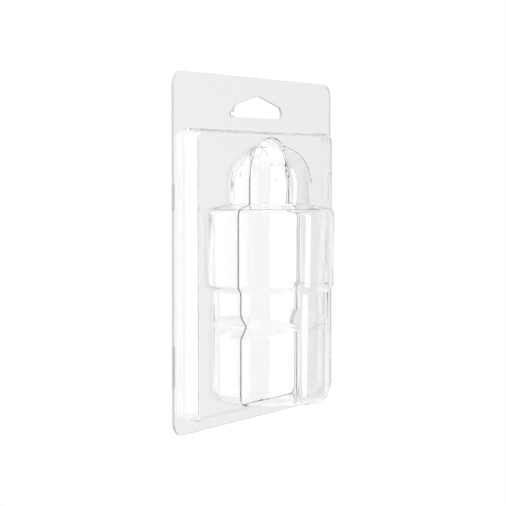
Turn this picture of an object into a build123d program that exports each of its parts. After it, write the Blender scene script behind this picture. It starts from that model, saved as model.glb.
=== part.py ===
"""A clear thermoformed clamshell pack, closed, as it hangs in a shop.

Two shells of thin clear sheet lie flange to flange. The front shell has a shallow raised tray,
and out of the tray's face rises the front half of a bottle-shaped cavity. The back shell has a
platform that nests inside the tray, and the back half of the cavity sinks from its face. Two
short living-hinge webs join the shells along the left edge. The sheet is one forming in the
real pack. Here the webs belong to the back shell, so that the front shell can turn on them.

X is the width, with +X to the right as seen from the front. -Y is the front, +Z is up. The
origin is the peak of the hanging hole, midway between the two flanges.
"""

from build123d import *
from math import cos, radians, tan
import os

# Sheet: gauge of each shell, air between the flanges, and the nesting clearance inside the tray
sheet_gauge = 0.35
flange_gap = 0.06
nest_clearance = 0.25

# Card-shaped flange, the same outline on both shells
card_width = 110.6
card_height = 120.0
card_corner_radius = 5.0

# Hanging hole: a low pentagon with rounded corners, its peak on the centre line
hole_width = 34.1
hole_height = 7.9
hole_side_height = 4.0
hole_shoulder_radius = 2.7
hole_corner_radius = 1.7
hole_peak_radius = 3.0
hole_border = 6.2
relief_radius = 1.2
relief_offset = 1.0

# Raised tray on the front shell, set in from the card's edges and from the hanging hole. Its
# borders are measured where its walls meet the flange.
tray_side_border = 6.75
tray_bottom_border = 3.9
tray_top_border = 4.4
tray_rise = 4.9
tray_draft_angle = 4.0
tray_corner_radius = 3.6
tray_rim_radius = 1.2
tray_foot_radius = 0.5

# Bottle-shaped cavity: radii and lengths of its round sections, from the top of the tray down.
# The body takes up the rest of the height. The front half starts with a short straight wall. The
# mouth's arch stands higher than the dome behind it, and slopes down to it.
band_radius = 21.7
body_radius = 20.0
neck_radius = 13.9
arch_gap = 2.4
arch_lift = 2.3
arch_step = 0.1
neck_length = 21.2
shoulder_drop = 1.9
band_length = 26.8
bevel_length = 1.3
cavity_gap = 2.2
arch_draft_angle = 38.0
arch_depth = 4.0
straight_wall = 0.9
mouth_corner_radius = 1.2
bottom_corner_radius = 3.4
bevel_radius = 1.5
shoulder_radius = 2.4
neck_foot_radius = 0.8
dome_radius = 13.8
mouth_radius = 0.25

# V-shaped notches in both sides of the cavity, swept round on a wider arc than the body's, so
# that each runs out in the body's front and back
notch_rise = 27.1
notch_depth = 3.8
notch_opening = 8.2
notch_sweep_radius = 27.0
notch_root_radius = 0.5
notch_lip_radius = 0.9

# Snap lugs on the left and right walls: upper ones below the tray's top, lower ones above its
# bottom, each a low round bar
lug_radius = 1.1
lug_proud = 0.35
lug_seat_depth = 2.2
back_lug_proud = 0.15
front_upper_lug_drop = 14.6
front_upper_lug_length = 10.2
front_lower_lug_rise = 11.7
front_lower_lug_length = 11.8
back_upper_lug_drop = 18.5
back_upper_lug_length = 10.1
back_lower_lug_rise = 10.8
back_lower_lug_length = 11.7

# Living hinge: two webs folded over the card's left edge, one set down from the card's top and
# one up from its bottom
upper_web_drop = 37.2
upper_web_length = 8.3
lower_web_rise = 16.2
lower_web_length = 13.3
hinge_clearance = 0.1

# One overrun for every cut
overrun = 5.0
seam = 0.001

# Planes and lines that follow from the sizes above
flange_front = flange_gap / 2 + sheet_gauge
tray_face = flange_front + tray_rise
wall_slope = tan(radians(tray_draft_angle))
wall_slant = cos(radians(tray_draft_angle))
nest_inset = sheet_gauge + nest_clearance
hinge_radius = flange_front
hinge_x = -card_width / 2 - hinge_clearance / 2

# Heights above the card's bottom edge that follow from the sizes above
hole_peak_height = card_height - hole_border
tray_width = card_width - 2 * tray_side_border
tray_bottom_height = tray_bottom_border
tray_top_height = hole_peak_height - hole_height - tray_top_border
arch_height = tray_top_height - arch_gap
dome_height = arch_height - arch_lift
shoulder_height = dome_height - neck_length
shoulder_edge_height = shoulder_height - shoulder_drop
bevel_top_height = shoulder_edge_height - band_length
bevel_bottom_height = bevel_top_height - bevel_length
cavity_bottom_height = tray_bottom_height + cavity_gap
notch_height = cavity_bottom_height + notch_rise
origin_shift = Pos(0, 0, -hole_peak_height)


def spans(top, drop, top_length, bottom, rise, bottom_length):
    """Lowest and highest points of an upper bar set down from a top and a lower one set up."""
    return [(top - drop - top_length, top - drop), (bottom + rise, bottom + rise + bottom_length)]


front_lug_spans = spans(
    tray_top_height, front_upper_lug_drop, front_upper_lug_length,
    tray_bottom_height, front_lower_lug_rise, front_lower_lug_length,
)
back_lug_spans = spans(
    tray_top_height, back_upper_lug_drop, back_upper_lug_length,
    tray_bottom_height, back_lower_lug_rise, back_lower_lug_length,
)
hinge_spans = spans(
    card_height, upper_web_drop, upper_web_length,
    0, lower_web_rise, lower_web_length,
)


def front_plane(forward):
    """Upright plane facing the front, at a distance forward of the middle of the flanges."""
    return Plane.XZ.offset(forward)


def slab(outline, behind, ahead):
    """Upright outline thickened between two distances forward of the middle."""
    return extrude(front_plane(behind) * outline, amount=ahead - behind)


def rounded(outline, corners):
    """Outline with its named corners rounded, each to its own radius."""
    for (across, up), radius in corners:
        corner = outline.vertices().sort_by_distance(Vertex(across, up, 0))[0]
        outline = fillet(corner, radius)
    return outline


def hanging_hole():
    """Outline of the hanging hole, with the small round relief at its lower left corner."""
    half = hole_width / 2
    floor = hole_peak_height - hole_height
    shoulder = floor + hole_side_height
    corners = [
        ((0, hole_peak_height), hole_peak_radius),
        ((-half, shoulder), hole_shoulder_radius),
        ((half, shoulder), hole_shoulder_radius),
        ((half, floor), hole_corner_radius),
    ]
    floor_corner = (-half, floor)
    points = [corners[0][0], corners[1][0], floor_corner, corners[3][0], corners[2][0]]
    outline = make_face(Polyline(*points, close=True))
    outline = rounded(outline, corners)
    relief = Pos(-half - relief_offset, floor + relief_radius) * Circle(relief_radius)
    return outline + relief


def card_outline():
    """Card with rounded corners and the hanging hole."""
    card = Pos(0, card_height / 2) * RectangleRounded(card_width, card_height, card_corner_radius)
    return card - hanging_hole()


def tray_block(inset, behind):
    """Drafted block of the tray, its surface inset from the tray's outside, from a level up."""
    shrink = inset / wall_slant + (behind - flange_front) * wall_slope
    width = tray_width - 2 * shrink
    height = tray_top_height - tray_bottom_height - 2 * shrink
    middle = (tray_top_height + tray_bottom_height) / 2
    base = Pos(0, middle) * RectangleRounded(width, height, tray_corner_radius - shrink)
    block = extrude(front_plane(behind) * base, amount=tray_face - inset - behind, taper=tray_draft_angle)
    rim = block.faces().sort_by(Axis.Y)[0].edges()
    return fillet(rim, tray_rim_radius - min(inset, tray_rim_radius - sheet_gauge))


def wall_x(forward):
    """Half width of the tray's outside at a distance forward of the middle."""
    return tray_width / 2 - (forward - flange_front) * wall_slope


def lug_bars(spans, radius, proud, inset):
    """Round bars along both side walls, standing proud of a wall that is inset."""
    seat = flange_front + lug_seat_depth
    reach = wall_x(seat) - inset / wall_slant - (lug_radius - proud)
    bars = []
    for low, high in spans:
        for side in (-1, 1):
            bar = Pos(side * reach, -seat, (low + high) / 2) * Cylinder(radius, high - low - 2 * radius)
            ends = [Pos(side * reach, -seat, z) * Sphere(radius) for z in (low + radius, high - radius)]
            bars += [bar, *ends]
    return bars


def cavity_silhouette(corner_radius):
    """Upright outline of the cavity without its notches, its bottom corners of a radius."""
    corners = [
        ((0, cavity_bottom_height), 0),
        ((body_radius, cavity_bottom_height), corner_radius),
        ((body_radius, bevel_bottom_height), bevel_radius),
        ((band_radius, bevel_top_height), bevel_radius),
        ((band_radius, shoulder_edge_height), shoulder_radius),
        ((neck_radius, shoulder_height), neck_foot_radius),
        ((neck_radius, dome_height), dome_radius),
        ((0, dome_height), 0),
    ]
    half = make_face(Polyline(*[point for point, radius in corners], close=True))
    half = rounded(half, [corner for corner in corners if corner[1] > 0])
    return half + mirror(half, about=Plane.YZ)


def arch_outline(shrink):
    """Upright outline of the mouth's arch, from inside the band up, drawn in by a shrink."""
    radius = neck_radius - arch_step - shrink
    spring = arch_height - neck_radius + arch_step
    sides = [(-radius, spring), (-radius, bevel_top_height), (radius, bevel_top_height), (radius, spring)]
    crown = ThreePointArc((radius, spring), (0, spring + radius), (-radius, spring))
    return make_face(Polyline(*sides) + crown)


def arch_flare(inset, level, facing):
    """Block that slopes from the mouth's arch down to the dome."""
    shrink = arch_depth * tan(radians(arch_draft_angle))
    mouth = front_plane(level) * arch_outline(inset)
    crest = front_plane(level + facing * arch_depth) * arch_outline(inset + shrink)
    return loft([mouth, crest], ruled=True)


def notch_wedge(inset):
    """Upright wedge of the right-hand notch, grown by an inset."""
    root = body_radius - notch_depth
    mouth = band_radius + overrun
    half_opening = notch_opening / 2 * (mouth - root) / notch_depth
    corners = [(root, notch_height), (mouth, notch_height - half_opening), (mouth, notch_height + half_opening)]
    wedge = make_face(Polyline(*corners, close=True))
    wedge = rounded(wedge, [(corners[0], notch_root_radius)])
    if inset > 0:
        wedge = offset(wedge, inset, kind=Kind.INTERSECTION)
    return wedge


def notch_sweeps(inset, level, facing):
    """Both notches, swept to the front (1) or back (-1) on an axis across the cavity."""
    across = body_radius - notch_depth - notch_sweep_radius
    spindle = Axis((across, -level, 0), (0, 0, -facing))
    sweep = revolve(front_plane(level) * notch_wedge(inset), axis=spindle, revolution_arc=180)
    return sweep + mirror(sweep, about=Plane.YZ)


def inset_silhouette(inset, corner_radius):
    """The cavity's outline, inset."""
    outline = cavity_silhouette(corner_radius)
    if inset > 0:
        outline = offset(outline, -inset, kind=Kind.ARC)
    return outline


def lip_edges(form, level):
    """Edges where the notches leave the cavity's wall, apart from those at a level."""
    reach = notch_opening / 2 + notch_lip_radius
    lips = []
    for edge in form.edges():
        box = edge.bounding_box()
        flat = abs(box.min.Y + level) < seam and abs(box.max.Y + level) < seam
        within = notch_height - reach < box.min.Z and box.max.Z < notch_height + reach
        if within and not flat and box.max.Z - box.min.Z > notch_opening / 4:
            lips.append(edge)
    return lips


def cavity_form(inset, level, facing):
    """Half of the cavity's form, turned on an axis at a level, to the front (1) or back (-1)."""
    side = Pos(card_width / 2, card_height / 2) * Rectangle(card_width, card_height)
    half = front_plane(level) * (inset_silhouette(inset, bottom_corner_radius) & side)
    spindle = Axis((0, -level, 0), (0, 0, -facing))
    form = revolve(half, axis=spindle, revolution_arc=180)
    form += arch_flare(inset, level, facing)
    form -= notch_sweeps(inset, level, facing)
    return fillet(lip_edges(form, level), notch_lip_radius - inset)


def cavity_mouth(inset, behind, ahead):
    """Straight length of the cavity between two levels, inset."""
    wedge = notch_wedge(inset)
    outline = inset_silhouette(inset, mouth_corner_radius) + arch_outline(inset)
    outline -= wedge + mirror(wedge, about=Plane.YZ)
    lips = [
        ((side * body_radius, notch_height + turn * notch_opening / 2), notch_lip_radius - inset)
        for side in (-1, 1) for turn in (-1, 1)
    ]
    return slab(rounded(outline, lips), behind, ahead)


def foot_edges(solid, forward, half_width, low, high):
    """Edges of a solid that lie in one upright plane and inside a frame round the form."""
    chosen = []
    for edge in solid.edges():
        box = edge.bounding_box()
        level = abs(box.min.Y + forward) < seam and abs(box.max.Y + forward) < seam
        inside = abs(box.min.X) < half_width and abs(box.max.X) < half_width
        if level and inside and low < box.min.Z and box.max.Z < high:
            chosen.append(edge)
    return chosen


def round_mouth(solid, forward, radius):
    """Rounds the cavity's mouth where it meets a flat face."""
    margin = cavity_gap / 4
    edges = foot_edges(
        solid, forward, band_radius + margin, cavity_bottom_height - margin, arch_height + margin,
    )
    return fillet(edges, radius)


def round_foot(solid, forward, radius):
    """Rounds the foot of the tray or platform where it leaves a face of the flange."""
    margin = min(tray_side_border, tray_bottom_border, tray_top_border) / 2
    edges = foot_edges(
        solid, forward, tray_width / 2 + margin,
        tray_bottom_height - margin, tray_top_height + margin,
    )
    return fillet(edges, radius)


def front_shell():
    """Flange, tray and front half of the cavity, formed from one sheet."""
    spindle_level = tray_face + straight_wall
    outside = slab(card_outline(), flange_gap / 2, flange_front) + tray_block(0, flange_front)
    outside = round_foot(outside, flange_front, tray_foot_radius)
    outside += lug_bars(front_lug_spans, lug_radius, lug_proud, 0)
    outside += cavity_mouth(0, tray_face - sheet_gauge, spindle_level)
    outside += cavity_form(0, spindle_level, 1)
    outside = round_mouth(outside, tray_face, mouth_radius)
    inside = tray_block(sheet_gauge, 0)
    inside += lug_bars(front_lug_spans, lug_radius - sheet_gauge, lug_proud, sheet_gauge)
    inside += cavity_mouth(sheet_gauge, 0, spindle_level)
    inside += cavity_form(sheet_gauge, spindle_level, 1)
    inside = round_mouth(inside, tray_face - sheet_gauge, mouth_radius + sheet_gauge)
    shell = round_foot(outside - inside, flange_gap / 2, tray_foot_radius + sheet_gauge)
    window = hinge_x + hinge_radius + hinge_clearance
    for low, high in hinge_spans:
        height = high - low + 2 * hinge_clearance
        outline = Pos(window - overrun / 2, (low + high) / 2) * Rectangle(overrun, height)
        shell -= slab(outline, 0, flange_front + overrun)
    return shell


def back_shell():
    """Flange, nested platform and back half of the cavity, with the two hinge webs."""
    platform_face = tray_face - nest_inset
    flange = slab(card_outline(), -flange_front, -flange_gap / 2)
    platform = flange + tray_block(nest_inset, -flange_gap / 2)
    platform = round_foot(platform, -flange_gap / 2, tray_foot_radius + nest_inset)
    platform += lug_bars(back_lug_spans, lug_radius, back_lug_proud, nest_inset)
    hollow = tray_block(nest_inset + sheet_gauge, -flange_front - sheet_gauge)
    hollow += lug_bars(back_lug_spans, lug_radius - sheet_gauge, back_lug_proud, nest_inset + sheet_gauge)
    round_form = cavity_form(0, platform_face, -1)
    shell = round_foot(platform - hollow, -flange_front, tray_foot_radius + nest_inset + sheet_gauge)
    shell += round_form
    shell -= cavity_form(sheet_gauge, platform_face, -1)
    shell = round_mouth(shell, platform_face - sheet_gauge, mouth_radius)
    for low, high in hinge_spans:
        shell += Pos(hinge_x, 0, (low + high) / 2) * Cylinder(hinge_radius, high - low)
    return shell


if __name__ == "__main__":
    os.makedirs("parts", exist_ok=True)
    for name, build in {"front_shell": front_shell, "back_shell": back_shell}.items():
        export_step(origin_shift * build(), "parts/" + name + ".step")
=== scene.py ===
import math
import bmesh
import bpy
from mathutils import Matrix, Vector


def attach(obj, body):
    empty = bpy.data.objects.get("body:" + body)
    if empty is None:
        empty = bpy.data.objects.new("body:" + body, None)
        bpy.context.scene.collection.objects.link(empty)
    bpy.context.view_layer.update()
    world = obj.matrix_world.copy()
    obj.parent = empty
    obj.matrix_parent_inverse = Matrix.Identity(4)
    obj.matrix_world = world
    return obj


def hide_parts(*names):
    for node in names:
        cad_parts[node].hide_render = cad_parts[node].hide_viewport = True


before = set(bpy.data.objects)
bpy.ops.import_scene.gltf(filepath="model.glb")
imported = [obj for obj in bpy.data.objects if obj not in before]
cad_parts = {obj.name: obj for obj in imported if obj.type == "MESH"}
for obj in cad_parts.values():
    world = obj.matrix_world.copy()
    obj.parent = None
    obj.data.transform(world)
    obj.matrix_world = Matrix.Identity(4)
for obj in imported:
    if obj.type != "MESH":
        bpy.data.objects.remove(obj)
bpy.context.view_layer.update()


# Back shell
# A clear sheet, thermoformed over a mould, with the card-shaped flange, the platform that nests
# inside the tray and the back half of the bottle-shaped cavity. The two short webs on its left
# edge are the living hinge.
weld_distance = 0.000002
crease_angle = math.radians(38)
flange_reach = 0.00042
card_reach = 0.05531
upright_limit = 0.5


def formed_sheet(node, name, material, edge_material):
    """A shell's own mesh, merged and shaded smooth, with the cut edge of its flange frosted."""
    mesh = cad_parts[node].data.copy()
    mesh.name = name
    mesh.materials.clear()
    mesh.materials.append(material)
    mesh.materials.append(edge_material)
    form = bmesh.new()
    form.from_mesh(mesh)
    bmesh.ops.remove_doubles(form, verts=form.verts, dist=weld_distance)
    for edge in form.edges:
        edge.smooth = edge.calc_face_angle(0) < crease_angle
    for face in form.faces:
        in_flange = all(abs(corner.co.y) < flange_reach for corner in face.verts)
        in_web = any(corner.co.x < -card_reach for corner in face.verts)
        upright = abs(face.normal.y) < upright_limit
        face.smooth = True
        face.material_index = int(in_flange and (in_web or upright))
    form.to_mesh(mesh)
    form.free()
    shell = bpy.data.objects.new(name, mesh)
    bpy.context.scene.collection.objects.link(shell)
    faired = shell.modifiers.new("Faired", "WEIGHTED_NORMAL")
    faired.keep_sharp = True
    return shell


def linear(code):
    """Linear colour of an sRGB hex value."""
    channels = [int(code[i:i + 2], 16) / 255 for i in (0, 2, 4)]
    return [c / 12.92 if c <= 0.04045 else ((c + 0.055) / 1.055) ** 2.4 for c in channels] + [1]


def add_node(tree, kind, settings={}, links={}):
    """Adds a node to a tree, with its settings and socket values, and links its inputs."""
    node = tree.nodes.new(kind)
    for name, value in settings.items():
        if isinstance(name, int) or name in node.inputs:
            node.inputs[name].default_value = value
        else:
            setattr(node, name, value)
    for name, source in links.items():
        tree.links.new(source, node.inputs[name])
    return node


# Clear APET sheet, vacuum formed and left with its gloss. It gives sharp reflections, a faint
# cold grey in the flats, and slow waves where the sheet was drawn thin over the mould.
sheet_colour = "FBFBFB"
sheet_ior = 1.575
sheet_roughness = 0.0
wave_length = 0.018
wave_height = 0.000012
wave_detail = 1.0

# A ray ends after twelve bounces, which six sheets in a row use up. What it would still have
# seen is painted back there as light: the sheet glows white at its last bounce, a little after a
# few crossings, when the ray was caught inside a bend, and more after many, when it went on
# through the layers.
last_bounce = 11.5
few_crossings = 4.0
many_crossings = 9.0
guided_light = 0.12
crossed_light = 0.65

clear_sheet = bpy.data.materials.new("Clear APET sheet")
clear_sheet.use_nodes = True
tree = clear_sheet.node_tree
tree.nodes.clear()
place = add_node(tree, "ShaderNodeTexCoord")
wave = add_node(tree, "ShaderNodeTexNoise", {"Scale": 1 / wave_length, "Detail": wave_detail}, {
    "Vector": place.outputs["Object"],
})
waves = add_node(tree, "ShaderNodeBump", {"Distance": wave_height}, {"Height": wave.outputs["Fac"]})
path = add_node(tree, "ShaderNodeLightPath")
last = add_node(tree, "ShaderNodeMath", {"operation": "GREATER_THAN", 1: last_bounce}, {
    0: path.outputs["Ray Depth"],
})
painted_glow_level = add_node(tree, "ShaderNodeMapRange", {
    "From Min": few_crossings, "From Max": many_crossings,
    "To Min": guided_light, "To Max": crossed_light,
}, {"Value": path.outputs["Transmission Depth"]})
# Painted light: the strength of the sheet's white glow, given only at the last bounce.
painted_glow = add_node(tree, "ShaderNodeMath", {"operation": "MULTIPLY"}, {
    0: last.outputs[0], 1: painted_glow_level.outputs["Result"],
})
gloss = add_node(tree, "ShaderNodeBsdfPrincipled", {
    "Base Color": linear(sheet_colour),
    "Roughness": sheet_roughness,
    "IOR": sheet_ior,
    "Transmission Weight": 1.0,
    "Emission Color": (1, 1, 1, 1),
}, {"Normal": waves.outputs["Normal"], "Emission Strength": painted_glow.outputs[0]})
add_node(tree, "ShaderNodeOutputMaterial", {}, {"Surface": gloss.outputs["BSDF"]})
clear_sheet.cycles.emission_sampling = "NONE"

# The same sheet where a steel rule die has cut it. The cut is dull, so it scatters the light and
# shows as a thin grey line instead of a clear one.
edge_colour = "D9DBDB"
edge_transmission = 0.5
edge_roughness = (0.35, 0.65)
grain_size = 0.0008
grain_detail = 2.0

cut_edge = bpy.data.materials.new("Die cut APET edge")
cut_edge.use_nodes = True
tree = cut_edge.node_tree
tree.nodes.clear()
place = add_node(tree, "ShaderNodeTexCoord")
grain = add_node(tree, "ShaderNodeTexNoise", {"Scale": 1 / grain_size, "Detail": grain_detail}, {
    "Vector": place.outputs["Object"],
})
rough = add_node(tree, "ShaderNodeMapRange", {
    "To Min": edge_roughness[0], "To Max": edge_roughness[1],
}, {"Value": grain.outputs["Fac"]})
dull = add_node(tree, "ShaderNodeBsdfPrincipled", {
    "Base Color": linear(edge_colour),
    "IOR": sheet_ior,
    "Transmission Weight": edge_transmission,
}, {"Roughness": rough.outputs["Result"]})
add_node(tree, "ShaderNodeOutputMaterial", {}, {"Surface": dull.outputs["BSDF"]})

back_shell = formed_sheet("back_shell", "back_shell_sheet", clear_sheet, cut_edge)
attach(back_shell, "back")
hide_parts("back_shell")


# Front shell
# The other half of the same forming: flange, shallow raised tray and the front half of the
# cavity, drawn from one clear sheet and folded over onto the back shell.
front_shell = formed_sheet("front_shell", "front_shell_sheet", clear_sheet, cut_edge)
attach(front_shell, "front")
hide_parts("front_shell")


# Floor
# A plain pale board well below the hanging pack, painted matt. It isn't part of the pack, and
# the photograph's view passes above it.
floor_size = 0.5
floor_drop = 0.45
floor_colour = "E9E9E7"
floor_roughness = 0.9

board = bpy.data.meshes.new("floor")
half = floor_size / 2
board.from_pydata([(-half, -half, -floor_drop), (half, -half, -floor_drop),
                   (half, half, -floor_drop), (-half, half, -floor_drop)], [], [(0, 1, 2, 3)])
floor = bpy.data.objects.new("floor", board)
bpy.context.scene.collection.objects.link(floor)
matt = bpy.data.materials.new("Matt painted board")
matt.use_nodes = True
paint = matt.node_tree.nodes["Principled BSDF"]
paint.inputs["Base Color"].default_value = linear(floor_colour)
paint.inputs["Roughness"].default_value = floor_roughness
board.materials.append(matt)


# Camera
# It stands in front and to the left of the pack, a little above its middle, and looks at it
# sixty degrees from the front.
camera_place = (-0.5054, -0.2907, -0.0271)
camera_turn = math.radians(59.94)
camera_pitch = math.radians(-2.80)
camera_reach = 1642
frame_pixels = 506
sensor = 36.0

lens = bpy.data.cameras.new("camera")
lens.sensor_width = sensor
lens.lens = sensor * camera_reach / frame_pixels
camera = bpy.data.objects.new("camera", lens)
bpy.context.scene.collection.objects.link(camera)
camera.location = camera_place
camera.rotation_euler = (math.pi / 2 + camera_pitch, 0, -camera_turn)
bpy.context.scene.camera = camera


# Room
# A plain pale room with a wide white backdrop behind the pack, and a black flag at the right
# that the flat faces mirror. Angles are seen from above, from the line between the pack and the
# camera, positive to the right.
room_grey = 0.7
room_light = 0.6
backdrop_edges = (math.cos(math.radians(50)), math.cos(math.radians(36)))
flag_turn = math.radians(120)
flag_grey = 0.1
flag_edges = (math.cos(math.radians(28)), math.cos(math.radians(14)))


def heading(turn):
    """Level direction from the pack, turned from the camera's towards the right."""
    angle = camera_turn + math.pi - turn
    return Vector((math.sin(angle), math.cos(angle), 0))


world = bpy.data.worlds.new("studio")
bpy.context.scene.world = world
world.use_nodes = True
tree = world.node_tree
tree.nodes.clear()
path = add_node(tree, "ShaderNodeLightPath")
through = add_node(tree, "ShaderNodeMath", {"operation": "MAXIMUM"}, {
    0: path.outputs["Is Camera Ray"], 1: path.outputs["Is Transmission Ray"],
})
towards = add_node(tree, "ShaderNodeTexCoord")
flagged = add_node(tree, "ShaderNodeVectorMath", {
    "operation": "DOT_PRODUCT", 1: heading(flag_turn),
}, {0: towards.outputs["Generated"]})
flag = add_node(tree, "ShaderNodeMapRange", {
    "interpolation_type": "SMOOTHSTEP", "From Min": flag_edges[0], "From Max": flag_edges[1],
    "To Min": room_grey, "To Max": flag_grey,
}, {"Value": flagged.outputs["Value"]})
level = add_node(tree, "ShaderNodeVectorMath", {"operation": "MULTIPLY", 1: (1, 1, 0)}, {
    0: towards.outputs["Generated"],
})
bearing = add_node(tree, "ShaderNodeVectorMath", {"operation": "NORMALIZE"}, {
    0: level.outputs["Vector"],
})
behind = add_node(tree, "ShaderNodeVectorMath", {
    "operation": "DOT_PRODUCT", 1: heading(math.pi),
}, {0: bearing.outputs["Vector"]})
backdrop = add_node(tree, "ShaderNodeMapRange", {
    "interpolation_type": "SMOOTHSTEP",
    "From Min": backdrop_edges[0], "From Max": backdrop_edges[1],
}, {"Value": behind.outputs["Value"]})
walls = add_node(tree, "ShaderNodeMix", {"data_type": "FLOAT", "B": 1.0}, {
    "Factor": backdrop.outputs["Result"], "A": flag.outputs["Result"],
})
mirrored = add_node(tree, "ShaderNodeMix", {"data_type": "FLOAT", "A": room_light}, {
    "Factor": path.outputs["Is Glossy Ray"], "B": walls.outputs["Result"],
})
shown = add_node(tree, "ShaderNodeMix", {"data_type": "FLOAT", "B": 1.0}, {
    "Factor": through.outputs[0], "A": mirrored.outputs["Result"],
})
sky = add_node(tree, "ShaderNodeBackground", {"Color": (1, 1, 1, 1)}, {
    "Strength": shown.outputs["Result"],
})
add_node(tree, "ShaderNodeOutputWorld", {}, {"Surface": sky.outputs["Background"]})


# Soft boxes
# Tall boxes around the pack, whose reflections run down its round walls, and a square one over
# it that whitens the roofs of the dome and of the shoulder. Most are hidden from what is seen
# through the sheet, so they show in its reflections alone.
pack_middle = Vector((0, 0, -0.055))
box_distance = 1.2
box_foot = box_distance * math.tan(math.radians(14))
tall_boxes = [
    {"from": -6, "to": 33, "up": 50, "strength": 2.4, "through": False},
    {"from": -63, "to": -39, "up": 57, "strength": 1.4, "through": True},
    {"from": 62, "to": 74, "up": 34, "strength": 3.6, "through": False},
    {"from": -124, "to": -63, "up": 50, "strength": 2.2, "through": False},
]
overhead_spread = math.radians(50)
overhead_strength = 1.8


def across(spread):
    """Width of a box that spans an angle, seen from the pack."""
    return 2 * box_distance * math.tan(spread / 2)


def soft_box(wide, high, strength, through):
    """An area lamp of a size, as bright all over as its strength says."""
    lamp = bpy.data.lights.new("soft box", "AREA")
    lamp.shape = "RECTANGLE"
    lamp.size = wide
    lamp.size_y = high
    lamp.energy = strength * math.pi * wide * high
    box = bpy.data.objects.new("soft box", lamp)
    bpy.context.scene.collection.objects.link(box)
    box.visible_transmission = through
    return box


for tall in tall_boxes:
    facing = heading(math.radians((tall["from"] + tall["to"]) / 2))
    wide = across(math.radians(tall["to"] - tall["from"]))
    head = box_distance * math.tan(math.radians(tall["up"]))
    box = soft_box(wide, head + box_foot, tall["strength"], tall["through"])
    box.location = pack_middle + box_distance * facing + Vector((0, 0, (head - box_foot) / 2))
    box.rotation_euler = facing.to_track_quat("Z", "Y").to_euler()

overhead = soft_box(across(overhead_spread), across(overhead_spread), overhead_strength, False)
overhead.location = pack_middle + Vector((0, 0, box_distance))

bpy.context.scene.view_settings.view_transform = "Standard"
